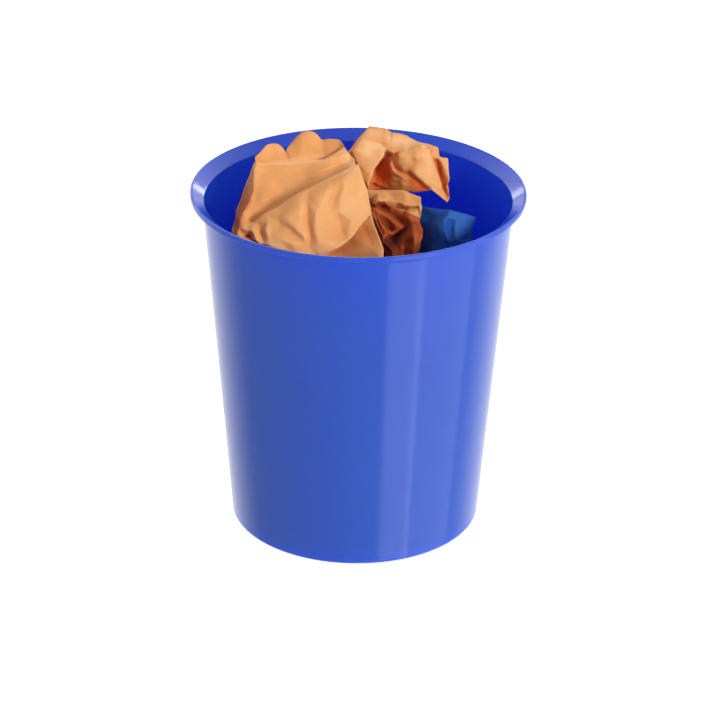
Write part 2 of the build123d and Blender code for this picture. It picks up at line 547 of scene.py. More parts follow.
def paper(name, color, wear_and_highlight, speck, painted_shade, lit_top=None, lit_top_along=None, lit_top_above=None):
    """Matt crumpled paper: cloudy fibres, specks, paler worn creases, painted shade in hollows and a grain.

    A lighter colour, when given, is painted above a height along a direction: a lit top, with the rest left
    darker as painted shade.
    """
    lit_top_blend = 2
    material, nodes, shader = new_material(name)
    place = nodes.new("ShaderNodeTexCoord").outputs["Object"]
    cloud = remap(nodes, noise(nodes, place, scale=38, detail=5), 0.3, 0.7)
    fibre = noise(nodes, place, scale=620, detail=4, stretch=(1, 1, 0.4))
    stored = {}
    for attribute in ("hollow", "shade_and_wear", "crease"):
        node = nodes.new("ShaderNodeAttribute")
        node.attribute_name = attribute
        stored[attribute] = node.outputs["Fac"]
    base = color
    # A lighter top painted above a height stands in for light. The part below keeps the darker colour as
    # painted shade.
    if lit_top:
        height = reach(nodes, place, lit_top_along)
        lit_top_share = remap(nodes, height, lit_top_above * MM, (lit_top_above + lit_top_blend) * MM)
        base = blend(nodes, lit_top_share, color, lit_top)
    paint = nodes.new("ShaderNodeHueSaturation")
    feed(paint.inputs["Color"], base)
    feed(paint.inputs["Value"], remap(nodes, cloud, 0, 1, 0.93, 1.07))
    tone = blend(nodes, remap(nodes, fibre, 0.55, 0.72, 0, 0.2), paint.outputs[0], speck)
    # Painted shade: hollows and the paint marks over 0 are blended towards a darker, redder colour.
    tone = blend(nodes, remap(nodes, stored["hollow"], 1.5, 8.0, 0, 0.5), tone, painted_shade)
    tone = blend(nodes, remap(nodes, stored["shade_and_wear"], 0, 1), tone, painted_shade)
    # Paint marks under 0 are lightened: partly wear and partly painted highlight.
    tone = blend(nodes, remap(nodes, stored["shade_and_wear"], 0, -1), tone, wear_and_highlight)
    rub = remap(nodes, noise(nodes, place, scale=420, detail=3), 0.35, 0.6, 0.35, 1)
    rubbed = math_node(nodes, "MULTIPLY", remap(nodes, stored["crease"], 0.12, 0.6, 0, 0.28), rub)
    feed(shader["Base Color"], blend(nodes, rubbed, tone, wear_and_highlight))
    feed(shader["Roughness"], remap(nodes, fibre, 0.3, 0.7, 0.72, 0.9))
    shader["Specular IOR Level"].default_value = 0.3
    grain = math_node(nodes, "ADD", noise(nodes, place, scale=260, detail=6), fibre)
    feed(shader["Normal"], relief(nodes, grain, strength=0.35, depth=0.0004))
    return material


kraft_color = (0.75, 0.36, 0.13, 1)
# Paler colour for worn creases and for painted highlights.
kraft_wear_and_highlight = (0.96, 0.61, 0.32, 1)
kraft_speck = (0.42, 0.17, 0.05, 1)
# Painted shade colour for the paper's hollows and shaded facets.
kraft_painted_shade = (0.54, 0.09, 0.012, 1)
kraft = paper("kraft_paper", kraft_color, kraft_wear_and_highlight, kraft_speck, kraft_painted_shade)
# The rear sheet's kraft is the same paper with a brighter, redder painted shade.
rear_painted_shade = (0.62, 0.11, 0.016, 1)
rear_kraft = paper("rear_kraft_paper", kraft_color, kraft_wear_and_highlight, kraft_speck, rear_painted_shade)
# The small sheet's dark brown is partly its own colour and partly painted shade. Its top is painted
# kraft-coloured as a lit top.
brown_and_painted_shade = (0.37, 0.07, 0.015, 1)
brown_wear_and_highlight = (0.62, 0.2, 0.06, 1)
brown_speck = (0.16, 0.03, 0.01, 1)
brown_painted_shade = (0.1, 0.01, 0.004, 1)
brown_paper = paper(
    "brown_paper", brown_and_painted_shade, brown_wear_and_highlight, brown_speck, brown_painted_shade,
    lit_top=kraft_color, lit_top_along=(0.4, LOW, HIGH), lit_top_above=280.0,
)
blue_color = (0.015, 0.085, 0.33, 1)
blue_wear_and_highlight = (0.08, 0.2, 0.45, 1)
# Painted shade colour, also used for the blue paper's specks.
blue_speck_and_painted_shade = (0.01, 0.045, 0.26, 1)
blue_paper = paper("blue_paper", blue_color, blue_wear_and_highlight, blue_speck_and_painted_shade, blue_speck_and_painted_shade)

# Rows of points, from a sheet's top edge down to the floor of the basket. A row is a few spans that
# line up from row to row. Each starts where the one before it ends. A point given twice is a corner.
large_rows = [
    ([(-16, 46, 320), (-28, 54, 327), (-42, 58, 317), (-56, 55, 328), (-68, 50, 322), (-80, 41, 329),
      (-91, 20, 337)],
     [(-91, 16, 339), (-91, 12, 340)],
     [(-86, 20, 342), (-81, 28, 345), (-76, 34, 344), (-71, 37, 342), (-67, 38, 337), (-65, 38, 334),
      (-65, 38, 334), (-64, 39, 337), (-60, 43, 341), (-54, 46, 347), (-50, 47, 350), (-45, 47, 351),
      (-40, 47, 350), (-36, 46, 347), (-33, 45, 344), (-27, 44, 345), (-18, 42, 345), (-15, 37, 344),
      (-13, 31, 343)],
     [(-16, 36, 334), (-19, 42, 322)]),
    ([(-16, 48, 308), (-28, 52, 314), (-42, 63, 307), (-56, 55, 314), (-68, 54, 310), (-81, 42, 317),
      (-91, 18, 332)],
     [(-91, 15, 333), (-91, 14, 333)],
     [(-84, 18, 331), (-72, 21, 330), (-57, 24, 330), (-42, 26, 330), (-30, 27, 331), (-20, 31, 335),
      (-13, 33, 341)],
     [(-16, 36, 330), (-18, 42, 314)]),
    ([(-16, 48, 300), (-28, 53, 304), (-42, 60, 299), (-56, 58, 305), (-68, 52, 303), (-82, 44, 310),
      (-92, 16, 332)],
     [(-91, 12, 334), (-90, 6, 337)],
     [(-84, 9, 335), (-72, 11, 335), (-57, 13, 335), (-42, 14, 336), (-30, 14, 337), (-30, 14, 337),
      (-21, 21, 340), (-13, 30, 343)],
     [(-15, 34, 328), (-17, 40, 308)]),
    ([(-16, 48, 290), (-46, 61, 290), (-84, 46, 298), (-99, 14, 314)],
     [(-95, 2, 318), (-91, -10, 322)],
     [(-85, -8, 323), (-72, -4, 324), (-57, 0, 326), (-41, 2, 330), (-26, 6, 335), (-7, 18, 339)],
     [(-10, 22, 326), (-13, 34, 304)]),
    ([(-16, 48, 285), (-46, 61, 284), (-85, 45, 290), (-104, 8, 301)],
     [(-99, -10, 307), (-94, -26, 313)],
     [(-83, -24, 315), (-68, -14, 319), (-53, -8, 323), (-37, -4, 329), (-22, 4, 333), (-4, 14, 338)],
     [(-8, 14, 325), (-11, 28, 303)]),
    ([(-16, 48, 280), (-46, 61, 278), (-86, 44, 280), (-108, -2, 294)],
     [(-104, -22, 300), (-100, -46, 308)],
     [(-94, -46, 304), (-88, -45, 302), (-77, -40, 308), (-66, -34, 313), (-51, -27, 320), (-33, -20, 328),
      (-17, -12, 333), (-3, -1, 336)],
     [(-5, 6, 324), (-9, 22, 300)]),
    ([(-16, 48, 274), (-46, 61, 270), (-86, 42, 272), (-108, -10, 291)],
     [(-105, -32, 299), (-101, -54, 307)],
     [(-95, -56, 306), (-89, -58, 308), (-78, -56, 316), (-67, -52, 322), (-52, -47, 330), (-33, -40, 338),
      (-16, -28, 341), (-16, -28, 341), (-1, -6, 340)],
     [(-4, 2, 322), (-8, 16, 298)]),
    ([(-16, 47, 262), (-46, 60, 258), (-87, 40, 256), (-109, -18, 288)],
     [(-105, -38, 295), (-102, -60, 304)],
     [(-94, -66, 305), (-83, -70, 308), (-70, -69, 315), (-57, -67, 322), (-40, -63, 329), (-24, -54, 335),
      (-9, -36, 340), (0, -12, 339)],
     [(-1, -15, 316), (-5, -2, 292)]),
    ([(-16, 46, 250), (-46, 60, 244), (-87, 38, 242), (-110, -24, 286)],
     [(-106, -43, 293), (-103, -64, 301)],
     [(-90, -74, 300), (-73, -79, 302), (-57, -81, 306), (-40, -79, 310), (-23, -73, 314), (-7, -58, 322),
      (7, -38, 326)],
     [(4, -28, 305), (-2, -20, 284)]),
    ([(-16, 46, 246), (-46, 60, 238), (-87, 37, 236), (-110, -30, 285)],
     [(-106, -47, 292), (-103, -66, 299)],
     [(-89, -77, 298), (-71, -85, 296), (-54, -90, 294), (-40, -92, 293), (-23, -92, 296), (-6, -82, 304),
      (3, -70, 311), (12, -54, 315)],
     [(6, -40, 298), (0, -30, 280)]),
    ([(-16, 46, 240), (-46, 60, 232), (-87, 36, 230), (-110, -30, 283)],
     [(-106, -44, 289), (-103, -60, 296)],
     [(-89, -68, 295), (-72, -74, 292), (-55, -74, 289), (-40, -68, 284), (-24, -60, 284), (-8, -56, 294),
      (2, -52, 305), (10, -47, 313)],
     [(6, -40, 296), (1, -32, 276)]),
    ([(-16, 45, 230), (-46, 59, 222), (-87, 34, 220), (-110, -30, 282)],
     [(-106, -48, 289), (-103, -66, 297)],
     [(-88, -78, 296), (-70, -82, 291), (-47, -76, 285), (-32, -68, 280), (-21, -66, 279), (-6, -70, 281),
      (18, -82, 288), (18, -82, 288), (22, -80, 293)],
     [(15, -64, 272), (5, -50, 262)]),
    level(150, [(-14, 34), (-46, 54), (-82, 36), (-96, 6)],
          [(-100, -16), (-99, -36)],
          [(-86, -68), (-56, -92), (-28, -98), (10, -88)],
          [(8, -70), (0, -56)]),
    level(9, [(-18, 26), (-44, 42), (-76, 24), (-84, 2)],
          [(-88, -16), (-87, -32)],
          [(-78, -58), (-54, -78), (-30, -84), (-2, -74)],
          [(-4, -60), (-10, -48)]),
]
rear_rows = [
    ([(42, 90, 322), (30, 96, 328), (16, 94, 320), (4, 92, 329), (-3, 86, 322), (-8, 60, 328)],
     [(-3, 66, 334), (4, 72, 340)],
     [(9, 78, 344), (16, 76, 344), (21, 74, 344)],
     [(24, 73, 344), (28, 71, 342)],
     [(30, 68, 342), (37, 66, 342)],
     [(43, 64, 341), (51, 60, 338), (58, 56, 337)],
     [(63, 56, 336), (68, 56, 334)],
     [(71, 58, 332), (72, 50, 326)],
     [(70, 62, 320), (66, 74, 320), (56, 84, 322)]),
    ([(44, 95, 316), (30, 98, 319), (16, 91, 314), (4, 94, 320), (-5, 84, 316), (-8, 60, 327)],
     [(-4, 64, 332), (2, 62, 340)],
     [(7, 60, 339), (13, 58, 337), (21, 56, 334)],
     [(24, 53, 333), (28, 50, 332)],
     [(31, 48, 331), (36, 48, 332)],
     [(43, 46, 334), (50, 44, 337), (58, 46, 338)],
     [(62, 48, 337), (64, 48, 334)],
     [(69, 50, 329), (72, 48, 326)],
     [(70, 62, 318), (68, 76, 314), (58, 86, 314)]),
    ([(46, 97, 306), (10, 96, 306), (-6, 82, 306), (-8, 58, 326)],
     [(-7, 57, 327), (-5, 50, 331)],
     [(3, 46, 330), (12, 44, 328), (21, 44, 330)],
     [(21, 54, 327), (25, 57, 324)],
     [(28, 56, 325), (32, 46, 328)],
     [(43, 40, 330), (52, 38, 331), (61, 42, 332)],
     [(64, 44, 329), (68, 44, 326)],
     [(74, 46, 327), (79, 46, 326)],
     [(75, 60, 318), (70, 76, 304), (58, 86, 302)]),
    ([(46, 98, 294), (8, 96, 294), (-6, 80, 296), (-1, 56, 317)],
     [(-1, 50, 319), (0, 42, 321)],
     [(4, 40, 319), (8, 38, 318), (13, 38, 319)],
     [(12, 50, 314), (17, 60, 311)],
     [(22, 56, 312), (27, 48, 314)],
     [(39, 38, 317), (51, 34, 317), (62, 36, 318)],
     [(67, 40, 316), (71, 44, 314)],
     [(75, 42, 318), (80, 40, 319)],
     [(76, 58, 308), (72, 76, 296), (60, 88, 292)]),
    ([(46, 97, 282), (8, 95, 282), (-6, 76, 286), (5, 50, 303)],
     [(5, 44, 306), (5, 36, 308)],
     [(6, 34, 307), (8, 32, 307), (9, 32, 308)],
     [(11, 47, 304), (14, 59, 300)],
     [(22, 55, 301), (28, 48, 302)],
     [(39, 38, 306), (51, 32, 309), (64, 30, 312)],
     [(70, 34, 306), (74, 40, 302)],
     [(77, 38, 308), (80, 36, 311)],
     [(76, 56, 306), (72, 76, 298), (60, 88, 290)]),
    ([(46, 96, 270), (8, 94, 270), (-5, 72, 276), (7, 44, 291)],
     [(7, 40, 292), (7, 38, 292)],
     [(8, 34, 293), (9, 32, 293), (10, 31, 295)],
     [(11, 45, 295), (14, 56, 292)],
     [(22, 52, 294), (29, 46, 296)],
     [(39, 36, 300), (51, 28, 301), (65, 20, 307)],
     [(72, 18, 302), (79, 18, 296)],
     [(81, 24, 297), (80, 28, 302)],
     [(75, 50, 303), (72, 72, 292), (60, 86, 284)]),
]
rear_foot_rows = [
    rear_rows[-1][:4],
    level(200, [(42, 92), (8, 90), (-4, 70), (6, 44)],
          [(7, 41), (9, 39)],
          [(11, 37), (13, 36)],
          [(20, 46), (30, 54)]),
    level(9, [(40, 82), (10, 80), (4, 66), (10, 48)],
          [(12, 46), (14, 44)],
          [(18, 42), (22, 42)],
          [(28, 48), (36, 56)]),
]
brown_rows = [
    ([(30, 17, 292), (12, 20, 296), (7, 24, 305)],
     [(16, 23, 305), (24, 21, 306), (40, 14, 309)],
     [(45, 10, 308), (55, 1, 308)],
     [(54, 6, 302), (44, 13, 298)]),
    ([(30, 17, 286), (11, 19, 291), (8, 13, 304)],
     [(16, 13, 304), (28, 11, 305), (40, 7, 308)],
     [(45, 1, 307), (55, -6, 308)],
     [(55, 1, 298), (45, 12, 294)]),
    ([(30, 17, 280), (10, 18, 286), (9, 4, 302)],
     [(14, -5, 304), (18, 0, 304), (24, 0, 304), (35, -2, 304), (41, -7, 303)],
     [(47, -11, 304), (54, -13, 305)],
     [(55, -3, 294), (46, 11, 290)]),
    ([(30, 17, 274), (10, 17, 281), (9, 9, 297)],
     [(16, 4, 296), (22, 8, 296), (30, 6, 296), (40, 1, 297)],
     [(46, -3, 298), (52, -7, 301)],
     [(54, -2, 288), (46, 11, 284)]),
    ([(30, 17, 266), (10, 16, 272), (9, 4, 289)],
     [(16, -10, 292), (24, 0, 291), (39, -6, 290)],
     [(45, -16, 294), (52, -11, 294)],
     [(54, -3, 282), (46, 11, 278)]),
    ([(30, 17, 256), (10, 15, 262), (12, 0, 280)],
     [(20, -17, 284), (30, -6, 280), (41, -13, 282)],
     [(49, -26, 290), (58, -19, 286)],
     [(56, -4, 274), (46, 11, 270)]),
    ([(30, 17, 246), (10, 14, 252), (18, -6, 271)],
     [(23, -26, 276), (32, -17, 271), (43, -21, 275)],
     [(50, -34, 281), (58, -25, 281)],
     [(56, -5, 264), (46, 11, 260)]),
    ([(30, 17, 238), (10, 12, 242), (28, -22, 264)],
     [(30, -30, 266), (34, -28, 267), (43, -28, 267)],
     [(49, -38, 272), (54, -34, 272)],
     [(54, -6, 254), (46, 11, 250)]),
    level(160, [(32, 16), (10, 14), (10, -6)],
          [(15, -38), (24, -58), (42, -54)],
          [(50, -44), (54, -30)],
          [(52, -6), (44, 11)]),
    level(9, [(30, 10), (13, 10), (12, -6)],
          [(16, -32), (24, -50), (38, -48)],
          [(46, -40), (50, -28)],
          [(48, -6), (40, 8)]),
]
blue_rows = [
    ([(66, 12, 284), (56, 12, 290), (51, 9, 297)],
     [(62, 4, 297), (72, -2, 298), (81, -8, 300)],
     [(93, -4, 295), (104, 2, 289)],
     [(100, 6, 284), (88, 10, 276)]),
    ([(66, 12, 280), (56, 12, 286), (52, 9, 290)],
     [(62, 3, 290), (72, -8, 293), (77, -15, 294)],
     [(91, -11, 290), (102, -3, 285)],
     [(100, 4, 280), (88, 9, 272)]),
    ([(66, 12, 272), (57, 12, 278), (53, 9, 279)],
     [(63, -3, 281), (70, -14, 285), (76, -22, 287)],
     [(89, -20, 286), (100, -9, 279)],
     [(100, 2, 270), (88, 9, 262)]),
    ([(66, 12, 262), (57, 12, 268), (54, 8, 267)],
     [(64, -10, 273), (72, -18, 275), (79, -28, 279)],
     [(89, -27, 280), (99, -15, 275)],
     [(100, 0, 262), (88, 9, 254)]),
    ([(66, 12, 252), (58, 12, 256), (55, 7, 253)],
     [(63, -14, 261), (72, -22, 266), (81, -28, 271)],
     [(89, -28, 273), (97, -22, 273)],
     [(100, 0, 254), (88, 9, 246)]),
    level(160, [(68, 12), (60, 12), (60, 7)],
          [(63, -14), (66, -42), (68, -62)],
          [(78, -68), (92, -54)],
          [(100, -22), (92, 6)]),
    level(9, [(72, 7), (68, 7), (66, 2)],
          [(68, -14), (68, -36), (69, -54)],
          [(77, -58), (86, -46)],
          [(93, -18), (86, 3)]),
]

# Nets of flat facets. Each line is a crease through points of a sheet, and after its place a point can
# have a rise towards the camera and a paint value: over 0 it is painted shade as dark as a hollow's, under 0
# wear and painted highlight.
large_facets = [
    [(-105, -38, 298, 0, 0.8), (-100, -56, 306, 0, 0.45), (-95, -57, 306, 0, 0.15), (-87, -60, 309, 0, 0.1),
     (-78, -59, 315), (-59, -53, 326), (-43, -44, 334), (-25, -35, 340, 0, -0.1), (-12, -23, 341, 0, -0.5),
     (-2, -14, 340, 0, -0.3), (-1, -20, 338), (3, -35, 329, 0, -0.2), (8, -52, 318, 0, -0.15),
     (10, -57, 314), (4, -66, 311), (-4, -77, 304), (-10, -85, 302), (-19, -90, 298), (-31, -93, 294),
     (-50, -77, 286), (-66, -82, 290), (-81, -81, 295), (-92, -75, 297), (-101, -68, 298), (-103, -65, 300),
     (-108, -34, 289, 0, 0.9)],
    [(-105, -38, 298, 0, 0.8), (-101, -62, 303, 0, 0.6), (-103, -65, 300)],
    [(-78, -59, 315), (-78, -67, 312, 2.4), (-79, -74, 307, 3.6), (-77, -79, 301, 3.1),
     (-74, -82, 293, 1.9)],
    [(-87, -60, 309, 0, 0.1), (-84, -69, 308, -2.6, 0.4), (-82, -76, 301, -3.4, 0.3), (-81, -81, 295)],
    [(-93, -58, 306, 0.7), (-91, -69, 305, 2.6), (-87, -77, 299, 3.6)],
    [(-99, -64, 304, 1.4), (-94, -68, 304, 0.6)],
    [(-98, -68, 301, -2.4, 0.6), (-96, -70, 300, -7.2, 1), (-94, -72, 300, -9.6, 1),
     (-89, -77, 298, -7.2, 1)],
    [(-78, -59, 315), (-69, -70, 315, -0.8), (-64, -75, 312, -2.5, 0.15), (-56, -80, 308, -2.4, 0.2),
     (-50, -83, 304, -2.6), (-45, -86, 301, -1.7)],
    [(-67, -63, 319, 0.7), (-61, -73, 316, 1.8), (-52, -78, 310, 2.9), (-45, -83, 305, 1.8)],
    [(-74, -75, 308, 1.2), (-66, -81, 302, 2.6), (-61, -87, 297, -1, 0.1)],
    [(-55, -86, 300, 2.6), (-52, -80, 290, -1.2, 0.15)],
    [(-42, -46, 334, -0.5), (-44, -61, 329, -2.4), (-44, -70, 322, -3.2, 0.1), (-43, -76, 315, -3.8, 0.15),
     (-41, -84, 304, -3.8, 0.2), (-41, -89, 297, -1.7)],
    [(-59, -61, 324, 1.1), (-51, -53, 329, 1.4), (-49, -70, 322, 2.5), (-50, -73, 317, 1.3)],
    [(-25, -38, 339, 0.6), (-27, -55, 335, 2.3), (-32, -65, 326, 3.1), (-36, -70, 322, 3.6),
     (-37, -77, 312, 2.9), (-34, -85, 303, 2.4), (-34, -91, 296, 0.8)],
    [(-15, -37, 341, 0.2), (-17, -49, 336, -1.8), (-21, -58, 330, -2.5, 0.1), (-24, -67, 322, -1.2),
     (-28, -74, 315, 0.6), (-24, -83, 305, -1.2)],
    [(-8, -32, 341, 0.7), (-12, -46, 336, 1.7), (-15, -55, 329, 2.6), (-16, -63, 322, 2.9)],
    [(-17, -67, 319, -1.9), (-14, -74, 312, -2.8, 0.1), (-11, -83, 304, -1.8)],
    [(-1, -39, 330, 1.3), (-5, -53, 324, 1.7), (-5, -67, 315, 2.4), (-8, -78, 308, 1.3)],
    [(-22, -87, 301, 2), (-30, -91, 297, 1)],
    [(5, -66, 312, 0.5, 0.1), (6, -58, 302, -2.2, 0.4), (9, -65, 298, -1.8, 0.35),
     (18, -71, 299, 0.5, 0.25)],
    [(-6, -62, 290, -0.7, 0.45), (3, -65, 294, 1, 0.2), (9, -65, 298, -1.8, 0.35)],
    [(-18, -63, 283, 0, 0.6), (-13, -63, 286, 0, 0.55)],
    [(1, -70, 287, 1, 0.2), (13, -75, 292, 1.7, 0.15)],
    [(10, -51, 310), (13, -59, 306, 0, 0.15), (20, -74, 298, 0, 0.2), (22, -80, 293, 0, 0.3),
     (18, -82, 288, 0, 0.3), (2, -74, 283, 0, 0.3), (-15, -67, 281, 0, 0.4), (-31, -68, 281, 0, 0.5)],
    [(-90, 9, 336), (-95, 13, 325, 0, 0.3), (-99, 9, 311, 0, 0.6), (-104, 4, 301, 0, 0.85),
     (-107, -8, 295, 0, 0.9), (-108, -19, 290, 0, 0.9), (-108, -34, 289, 0, 0.9)],
    [(-90, 5, 336), (-91, -5, 326, 0, 0.05), (-92, -14, 319, 0, 0.15), (-94, -26, 313, 0, 0.7),
     (-98, -39, 310, 0, 0.7), (-101, -50, 307, 0, 0.6), (-105, -38, 298, 0, 0.8)],
    [(-91, -28, 313, 0, 0.05), (-96, -39, 309, 0, 0.1), (-98, -51, 306, 0, 0.15), (-95, -57, 306, 0, 0.15)],
    [(-91, -28, 313, 0, 0.08), (-84, -24, 315, 1.2, 0.1), (-78, -12, 320, 1.4, 0.08),
     (-71, 1, 327, 0.7, 0.05)],
    [(-90, 5, 336, 0, -0.1), (-78, 10, 335, 0, -0.45), (-65, 11, 334, 0, -0.45), (-52, 12, 335, 0, -0.45),
     (-40, 13, 336, 0, -0.4), (-30, 12, 336, 0, -0.2), (-19, 21, 340, 0, -0.25), (-14, 28, 342, 0, -0.1)],
    [(-89, 4, 334), (-77, 8, 333), (-64, 10, 333), (-50, 10, 333), (-40, 11, 335), (-31, 9, 335)],
    [(-14, 28, 342, 0, -0.1), (-10, 20, 340, 0, -0.55), (-5, 11, 337, 0, -0.5), (-1, -8, 340, 0, -0.2)],
    [(-19, 15, 338, -1, 0.05), (-10, 20, 340, 0, -0.55)],
    [(-93, -41, 307, 0, 0.15), (-84, -36, 308, -1, 0.12), (-64, -25, 316, -1, 0.08),
     (-39, -12, 327, -1, 0.1), (-16, 1, 334, -0.6, 0.1), (-1, -8, 340, 0, -0.2)],
    [(-49, 1, 328, -1), (-53, -19, 321, 0.5)],
    [(-22, 4, 333, 1)],
]
rear_facets = [
    [(-6, 58, 328, 0, 0.5), (-2, 60, 335, 0, 0.2), (2, 62, 340, 0, -0.15), (9, 76, 343, 0, -0.35),
     (23, 71, 343, 0, -0.2), (29, 69, 342, 0, 0.05), (36, 66, 342, 0, -0.4), (46, 58, 339, 0, -0.5),
     (58, 54, 337, 0, -0.2), (68, 55, 333, 0, 0.2), (69, 52, 330), (72, 47, 328), (78, 45, 325),
     (80, 40, 318), (80, 35, 310), (80, 29, 303, 0, 0.3), (81, 23, 297, 0, 0.2), (79, 18, 296, 0, 0.2),
     (73, 18, 301), (65, 20, 307, 0, 0.3), (59, 23, 305, 0, 0.95), (45, 32, 300, 0, 0.35),
     (30, 45, 296, 0, 0.3), (19, 54, 293, 0, 0.5), (9, 32, 303, 0, 0.5), (8, 32, 307, 0, 0.3)],
    [(-6, 58, 328, 0, 0.5), (-4, 50, 328, 0, 0.6), (2, 40, 317, 0, -0.05), (6, 34, 305, 0, 0.1),
     (7, 35, 294, 0, 0.1)],
    [(-3, 53, 334, 0, 0.3), (-4, 48, 327, 0.6, -0.1)],
    [(-2, 60, 335, 0, 0.2), (4, 61, 340, 2, -0.1), (10, 59, 338, 1.5, 0.05), (19, 59, 336, 2.1, 0.15),
     (26, 54, 334, 2, 0.15), (32, 50, 332, 0.2, 0.15), (37, 47, 332, 0.6)],
    [(6, 58, 338, 0.9, -0.6), (18, 57, 335, 0.9, -0.6), (25, 52, 333, 0.7, -0.4)],
    [(10, 59, 338, 1.5, 0.05), (14, 69, 341, 0.2, -0.35), (23, 66, 340, 1.7, -0.3), (30, 68, 342)],
    [(23, 66, 340, 1.7, -0.3), (26, 54, 334, 2, 0.15)],
    [(30, 61, 338, 1.8, -0.8), (42, 55, 337, 1.3, -0.75)],
    [(0, 50, 332, 0.9, -0.5), (7, 51, 333, 1.8, -0.6), (15, 52, 333, 1.8, -0.6), (24, 53, 331, 0.9, -0.3)],
    [(1, 44, 325, 0.7, -0.3), (9, 42, 325, 1.1, -0.35), (16, 43, 328, 0.2, -0.3), (19, 43, 328, 0, -0.1)],
    [(4, 39, 318, 1.1, -0.1), (11, 37, 317, 0.2, -0.3)],
    [(24, 55, 326, 0, -0.2), (17, 41, 325, 0, -0.3), (13, 38, 319, 0, -0.35), (10, 34, 312, 0, -0.1),
     (8, 32, 306)],
    [(27, 56, 325, -1.1, 1), (20, 56, 319, -1.1, 1), (16, 58, 311, -1.1, 1), (17, 58, 304, -1.1, 1),
     (17, 57, 299, -1.7, 1)],
    [(25, 55, 327, -1.1, 0.9), (27, 50, 318, -1.7, 1), (29, 47, 308, -1.7, 1), (30, 45, 297, -0.6, 0.8)],
    [(28, 54, 324, -1.1, 0.25), (29, 47, 319, -1.1, 0.3), (30, 46, 309, -1.1, 0.2),
     (31, 44, 298, -0.6, 0.15)],
    [(10, 34, 312, -1.1, 0.35), (13, 52, 309, -1.1, 0.2), (15, 57, 311, -1.1, 0.6)],
    [(10, 34, 311, -1.1, 1), (13, 56, 298, -3.3, 1), (19, 54, 295, -2.2, 1), (23, 51, 294, -1.1, 1)],
    [(11, 49, 303, 1.1, 0.4), (17, 56, 298, 0.9, 0.5), (22, 53, 296, 0.7, 0.7)],
    [(34, 48, 330, -2, 0.75), (31, 46, 325, -2.9, 0.6), (33, 44, 318, -2.6, 0.7)],
    [(36, 46, 331, 2.2, -0.25), (36, 43, 324, 2.2, -0.3), (40, 38, 318, 0.7, 0.1)],
    [(29, 53, 327, 0.7, 0.3), (28, 50, 321, -0.6, 0.7), (30, 46, 318, 1.8, 0.25), (34, 42, 313, 1, 0.1),
     (41, 37, 310, 0.8, 0.1)],
    [(34, 43, 320, -2.2, 0.7), (39, 38, 317, -3.1, 0.9), (46, 36, 316, -3.3, 1), (53, 32, 311, -3.7, 1),
     (62, 23, 306, -3.5, 1)],
    [(48, 34, 313, -2.9, 0.9), (55, 29, 307, -3.1, 1), (62, 22, 306, -1.7, 1)],
    [(32, 44, 312, -1.3, 0.6), (36, 41, 311, -1.5, 0.3)],
    [(35, 41, 303, 0.7, 0.2), (46, 34, 306, 0.9, 0.5), (51, 29, 304, 0.2, 0.8)],
    [(42, 45, 333, 1.2, -0.25), (40, 40, 325, 2.4, -0.25), (45, 37, 320, 0.4, 0.35), (49, 35, 317, 2.2),
     (57, 31, 311, 2.9), (66, 22, 307, 2.1), (73, 18, 301, 1, 0.05)],
    [(49, 35, 317, 2.2), (50, 37, 325, 0.2, 0.25), (52, 38, 329, 1.8), (55, 39, 330, 1, 0.1),
     (54, 43, 335, 1.5, -0.1)],
    [(46, 40, 331, 0.2, -0.1), (52, 38, 329, 1.8, -0.2)],
    [(59, 45, 336, 2), (63, 46, 333, 3.1, -0.2), (65, 43, 326, 3.3, -0.3), (69, 42, 315, 3.3, -0.1),
     (73, 39, 304, 3.1), (77, 26, 298, 2.1)],
    [(58, 41, 332, 1.5, -0.45), (62, 37, 321, 1.3, -0.35), (65, 32, 312, 1.3, -0.1)],
    [(53, 45, 337, 0.4, 0.1), (57, 47, 338, 2.1, -0.7), (60, 45, 336, 0.4, 0.3)],
    [(65, 47, 332, -1.1, 0.5), (68, 44, 326, -2.6, 1), (72, 44, 315, -3.1, 1), (76, 37, 304, -2.4, 1),
     (78, 25, 298, -1.8, 0.8)],
    [(71, 45, 326, -3.5, 0.95), (75, 41, 315, -4, 0.95), (79, 33, 306, -3.1, 0.9)],
    [(69, 46, 328, 1.1, -0.1), (72, 45, 326, 2), (76, 42, 318, 2.2, 0.1), (80, 36, 311, 2, 0.1)],
    [(77, 44, 323, 1.1, -0.35), (79, 41, 319, 1.1, -0.35)],
    [(65, 51, 335, 1.5, 0.4), (70, 54, 331, 0.7, 0.3), (66, 46, 329, 0, 0.35)],
]
